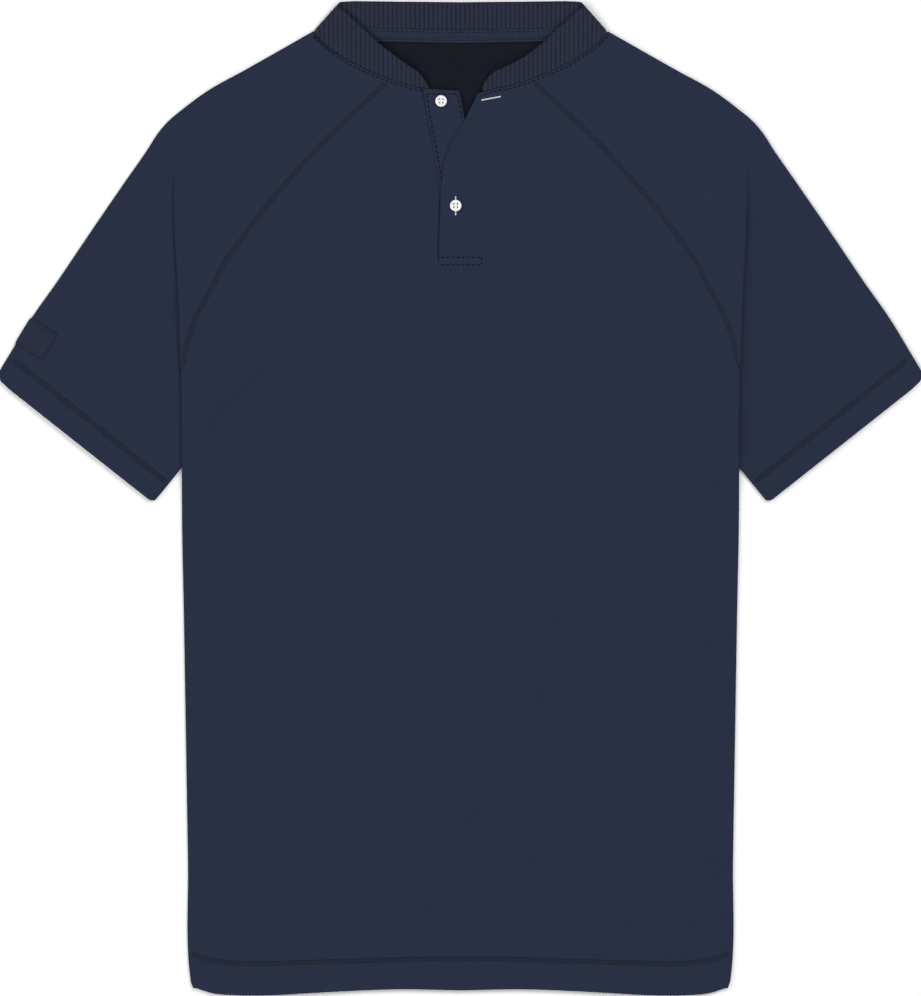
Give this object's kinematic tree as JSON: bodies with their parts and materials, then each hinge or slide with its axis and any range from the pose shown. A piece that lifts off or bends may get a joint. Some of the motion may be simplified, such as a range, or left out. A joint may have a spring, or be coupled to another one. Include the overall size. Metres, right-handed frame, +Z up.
{
  "type": "polo shirt",
  "caption": "Short-sleeved navy raglan polo shirt laid flat on its back, with a ribbed band collar and a buttoned placket, its top button undone.",
  "frame": {"origin": "centre of the bounding box, on the surface that the shirt lies on", "axes": "+Y from the hem towards the neck, +Z up out of the front, +X towards the side that the flap of the placket comes from"},
  "size_m": [0.784, 0.8444, 0.01],
  "materials": {
    "jersey": "fine navy cotton jersey, matte",
    "jersey_inside": "navy cotton jersey, its inner side and underside",
    "rib": "flat-knit navy rib, matte",
    "tape": "navy self-fabric tape, stitched along both edges",
    "label": "plain woven navy label",
    "button": "white polyester resin, softly polished"
  },
  "bodies": {
    "root": {"back_panel": "jersey_inside", "front_panel": "jersey", "sleeve_left": "jersey", "sleeve_right": "jersey", "rib_collar": "rib", "neck_tape": "tape", "under_placket": "jersey", "sleeve_label": "label", "button_top": "button", "button_lower": "button"}
  },
  "joints": []
}
